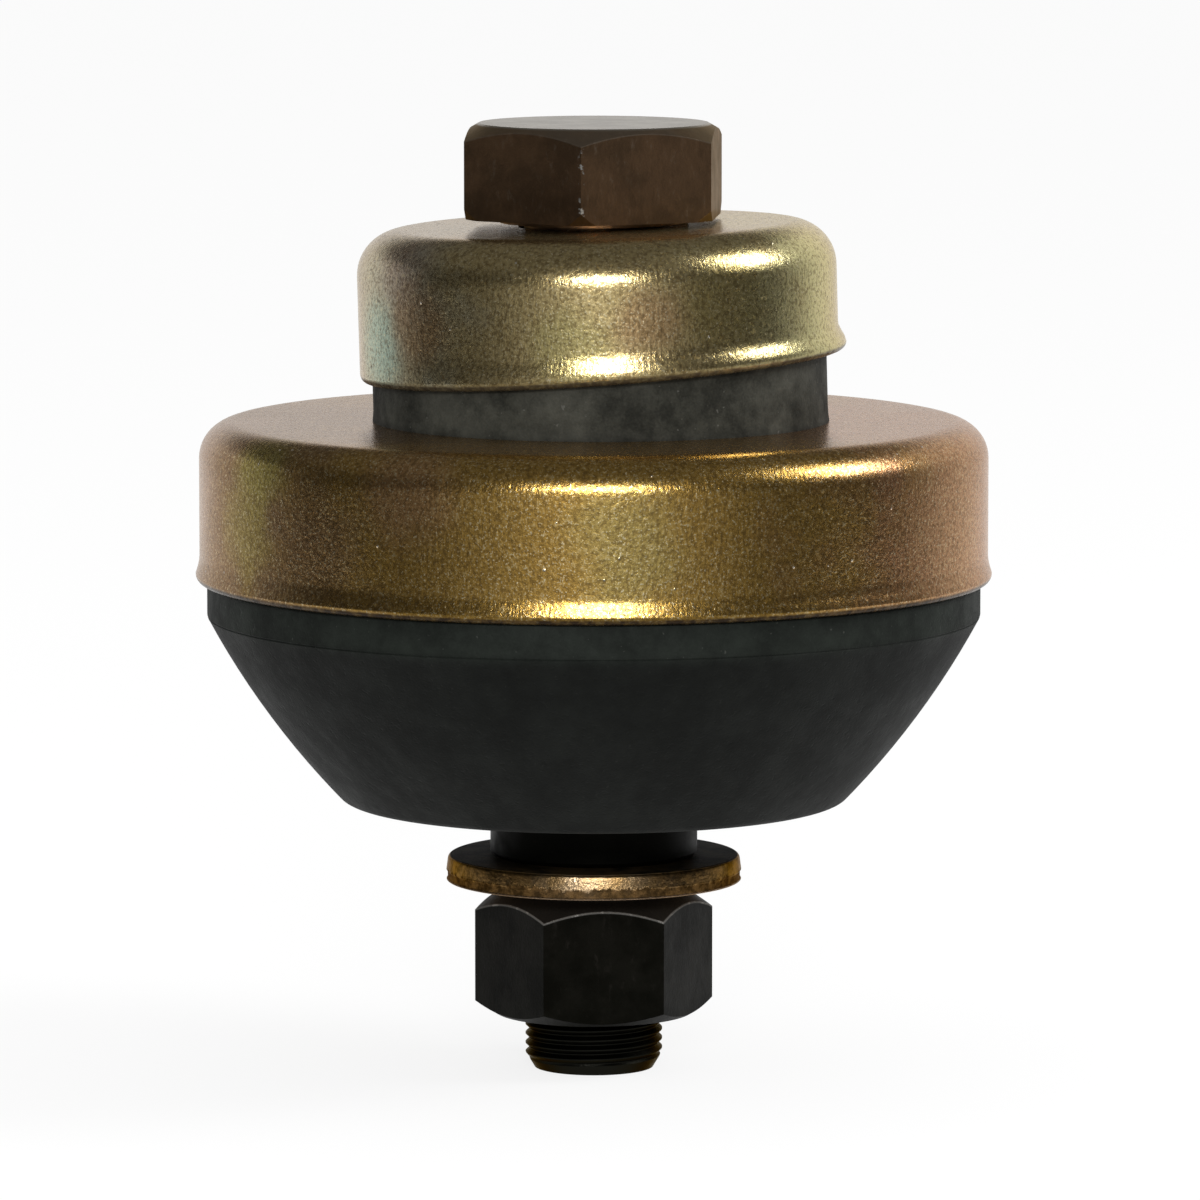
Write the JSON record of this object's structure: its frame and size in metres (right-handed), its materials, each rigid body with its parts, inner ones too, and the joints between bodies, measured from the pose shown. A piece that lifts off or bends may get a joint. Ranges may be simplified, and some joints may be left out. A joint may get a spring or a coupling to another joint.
{
  "type": "transmission mount",
  "caption": "Bolted transmission mount: a through bolt clamps a small and a large rubber cushion, each bonded or seated in a pressed steel cup, over a flat washer and nut.",
  "frame": {"origin": "centre of the lower cushion's flat seat, on the bolt's axis", "axes": "+Z along the bolt towards its head, +X towards the lipped side of the upper cup's rim"},
  "size_m": [0.0918, 0.0918, 0.1097],
  "materials": {
    "dark_bolt": "dark oiled oxide",
    "yellow_zinc": "yellow passivated zinc plate, semi-bright",
    "black_rubber": "moulded satin",
    "plain_steel": "plain turned, dark and oily",
    "black_nut": "black oxide"
  },
  "bodies": {
    "root": {"hex_bolt": "dark_bolt", "upper_cup": "yellow_zinc", "upper_cushion": "black_rubber", "spacer_sleeve": "plain_steel", "lower_cup": "yellow_zinc", "lower_cushion": "black_rubber", "flat_washer": "yellow_zinc", "hex_nut": "black_nut"}
  },
  "joints": []
}
